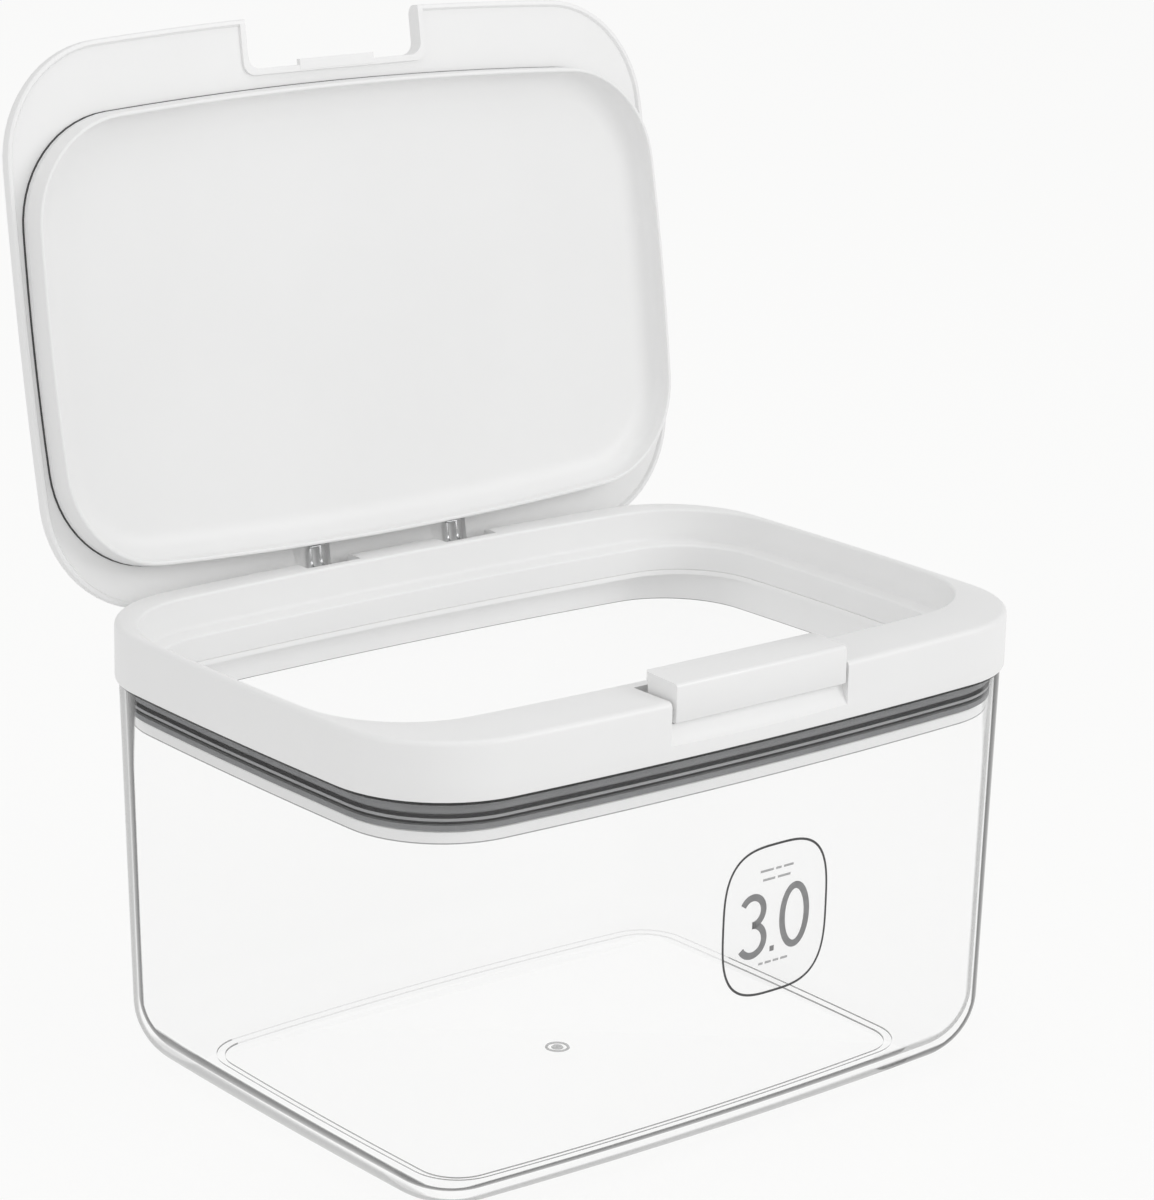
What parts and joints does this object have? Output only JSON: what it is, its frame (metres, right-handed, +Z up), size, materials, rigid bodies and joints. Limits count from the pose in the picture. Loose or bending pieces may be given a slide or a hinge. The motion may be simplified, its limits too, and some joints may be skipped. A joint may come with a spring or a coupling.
{
  "type": "laundry detergent storage box",
  "caption": "Clear storage box for laundry detergent with a lift-off white collar, a hinged flip-up lid and a rocking latch button.",
  "frame": {"origin": "middle of the underside of the clear box", "axes": "+Z up, front with the latch button towards -Y, long side along X"},
  "size_m": [0.208, 0.1824, 0.2629],
  "materials": {
    "clear_plastic": "polished",
    "label_film": "satin",
    "white_plastic": "satin",
    "grey_rubber": "matte",
    "spring_steel": "bright"
  },
  "bodies": {
    "box": {"clear_box": "clear_plastic", "front_label": "label_film"},
    "collar": {"collar": "white_plastic", "skirt_ring": "white_plastic", "box_gasket": "grey_rubber", "hinge_pin_left": "spring_steel", "hinge_pin_right": "spring_steel"},
    "lid": {"lid_cover": "white_plastic", "lid_liner": "white_plastic", "lid_seal": "grey_rubber", "hinge_spring_left": "spring_steel", "hinge_spring_right": "spring_steel"},
    "button": {"latch_button": "white_plastic"}
  },
  "joints": [
    {"name": "collar_lift", "type": "slide", "parent": "box", "child": "collar", "axis": [0, 0, 1], "range_m": [0, 0.03]},
    {"name": "lid_hinge", "type": "hinge", "parent": "collar", "child": "lid", "pos_m": [0, 0.073, 0.1178], "axis": [1, 0, 0], "range_deg": [0, 99.7], "stiffness_Nm_per_rad": 0.02, "springref_deg": -20.05},
    {"name": "button_rock", "type": "hinge", "parent": "collar", "child": "button", "pos_m": [0, -0.069, 0.1197], "axis": [1, 0, 0], "range_deg": [0, 12], "stiffness_Nm_per_rad": 0.05}
  ]
}
